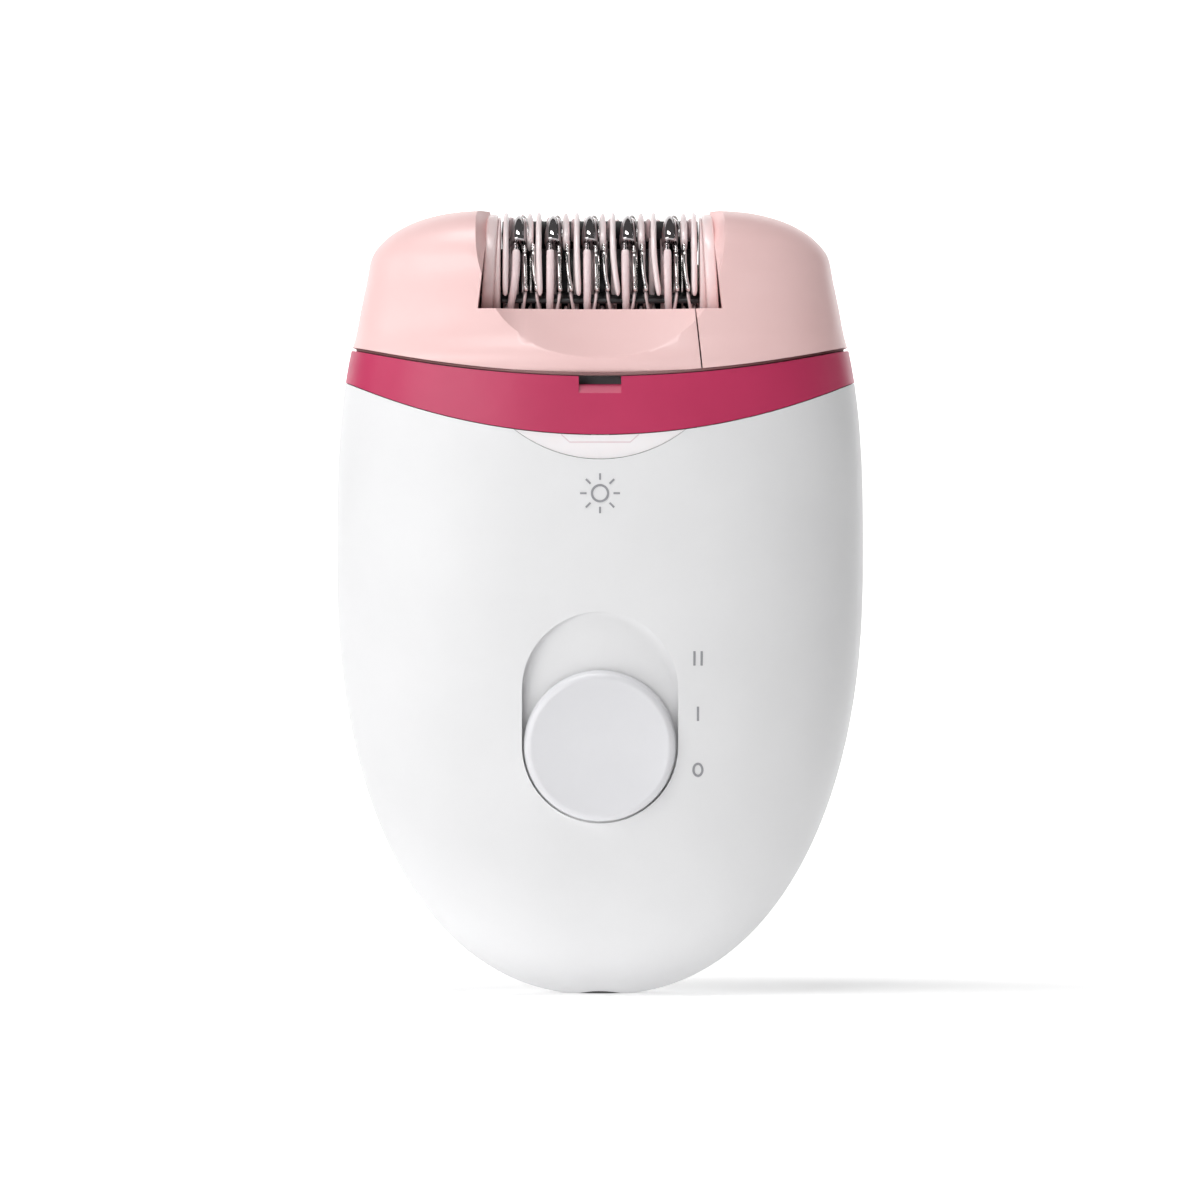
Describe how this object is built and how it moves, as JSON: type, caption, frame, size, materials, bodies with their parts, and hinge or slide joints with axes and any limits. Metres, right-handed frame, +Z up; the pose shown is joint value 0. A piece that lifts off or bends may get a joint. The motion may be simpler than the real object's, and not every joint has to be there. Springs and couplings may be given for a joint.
{
  "type": "epilator",
  "caption": "Palm-sized corded epilator: egg-shaped white body with a round slide switch, magenta collar and a pink pull-off head with a rotating tweezer drum.",
  "frame": {"origin": "centre of the small flat at the bottom of the body, in the middle of the whole object's box", "axes": "+Z up towards the tweezer drum, -Y out of the front with the slide switch, +X towards the gear cover"},
  "size_m": [0.0743, 0.0433, 0.11],
  "materials": {
    "white_shell": "gloss",
    "white_button": "satin",
    "magenta": "gloss",
    "pink_housing": "satin",
    "pink_guard": "satin",
    "pink_rib": "satin",
    "pale_fin": "satin",
    "dark_chrome": "polished",
    "spring_steel": "polished",
    "lens": "clear, frosted inside",
    "ink": "pad printed",
    "black_plastic": "matt",
    "grey_plastic": "matt",
    "gear_plastic": "satin",
    "brass": "turned",
    "steel": "satin",
    "magnet": "matt",
    "board": "solder mask",
    "board_black": "matt",
    "led": "clear",
    "wire": "matt"
  },
  "bodies": {
    "root": {"front_shell": "white_shell", "back_shell": "white_shell", "collar_ring": "magenta", "light_window": "lens", "printed_marks": "ink", "led_board": "board", "led_lamp": "led", "motor_frame": "grey_plastic", "motor_can": "steel", "motor_magnets": "magnet", "motor_end_cap": "black_plastic", "circuit_board": "board", "board_parts": "board_black", "switch_body": "black_plastic", "socket_housing": "black_plastic", "socket_contact": "brass", "idler_axle": "steel", "frame_screws": "steel", "lead_wires": "wire", "release_spring": "steel"},
    "rotor": {"motor_shaft": "steel", "motor_armature": "steel", "motor_pinion": "brass"},
    "idler": {"idler_gear": "gear_plastic"},
    "head": {"head_housing": "pink_housing", "gear_cover": "pink_housing", "head_base": "grey_plastic", "head_screws": "steel", "transfer_axle": "steel", "drum_axle": "steel", "left_guard": "pink_guard", "right_guard": "pink_guard"},
    "transfer": {"transfer_gear": "gear_plastic"},
    "drum": {"drum_core": "black_plastic", "drum_gear": "gear_plastic", "rib_disc_1": "pink_rib", "rib_disc_2": "pink_rib", "rib_disc_3": "pink_rib", "rib_disc_4": "pink_rib", "rib_disc_5": "pink_rib", "hood_1": "dark_chrome", "hood_2": "dark_chrome", "hood_3": "dark_chrome", "hood_4": "dark_chrome", "hood_5": "dark_chrome", "tweezer_pair_1": "spring_steel", "tweezer_pair_2": "spring_steel", "tweezer_pair_3": "spring_steel", "tweezer_pair_4": "spring_steel", "tweezer_pair_5": "spring_steel", "fin_disc_1": "pale_fin", "fin_disc_2": "pale_fin", "fin_disc_3": "pale_fin", "fin_disc_4": "pale_fin", "fin_disc_5": "pale_fin", "fin_disc_6": "pale_fin"},
    "switch": {"switch_button": "white_button", "switch_slider": "grey_plastic"},
    "release": {"release_button": "white_shell"}
  },
  "joints": [
    {"name": "head_lift", "type": "slide", "parent": "root", "child": "head", "axis": [0, 0, 1], "range_m": [0, 0.03]},
    {"name": "drum_spin", "type": "hinge", "parent": "head", "child": "drum", "pos_m": [0, 0, 0.1], "axis": [1, 0, 0], "continuous": true},
    {"name": "transfer_spin", "type": "hinge", "parent": "head", "child": "transfer", "pos_m": [0, 0, 0.08525], "axis": [1, 0, 0], "continuous": true},
    {"name": "idler_spin", "type": "hinge", "parent": "root", "child": "idler", "pos_m": [0, 0, 0.0745], "axis": [1, 0, 0], "continuous": true},
    {"name": "motor_spin", "type": "hinge", "parent": "root", "child": "rotor", "pos_m": [0, 0, 0.0655], "axis": [1, 0, 0], "continuous": true},
    {"name": "slide_switch", "type": "slide", "parent": "root", "child": "switch", "axis": [0, -0.102, 0.9948], "range_m": [0, 0.0079]},
    {"name": "release_press", "type": "slide", "parent": "root", "child": "release", "axis": [0, -1, 0], "range_m": [0, 0.0015], "stiffness_N_per_m": 300, "springref_m": -0.001, "deforming": ["release_spring"]}
  ],
  "couplings": [
    {"joint": "transfer_spin", "follows": "drum_spin", "ratio": -0.90323},
    {"joint": "idler_spin", "follows": "drum_spin", "ratio": 2.3333},
    {"joint": "motor_spin", "follows": "drum_spin", "ratio": -6.0667}
  ]
}
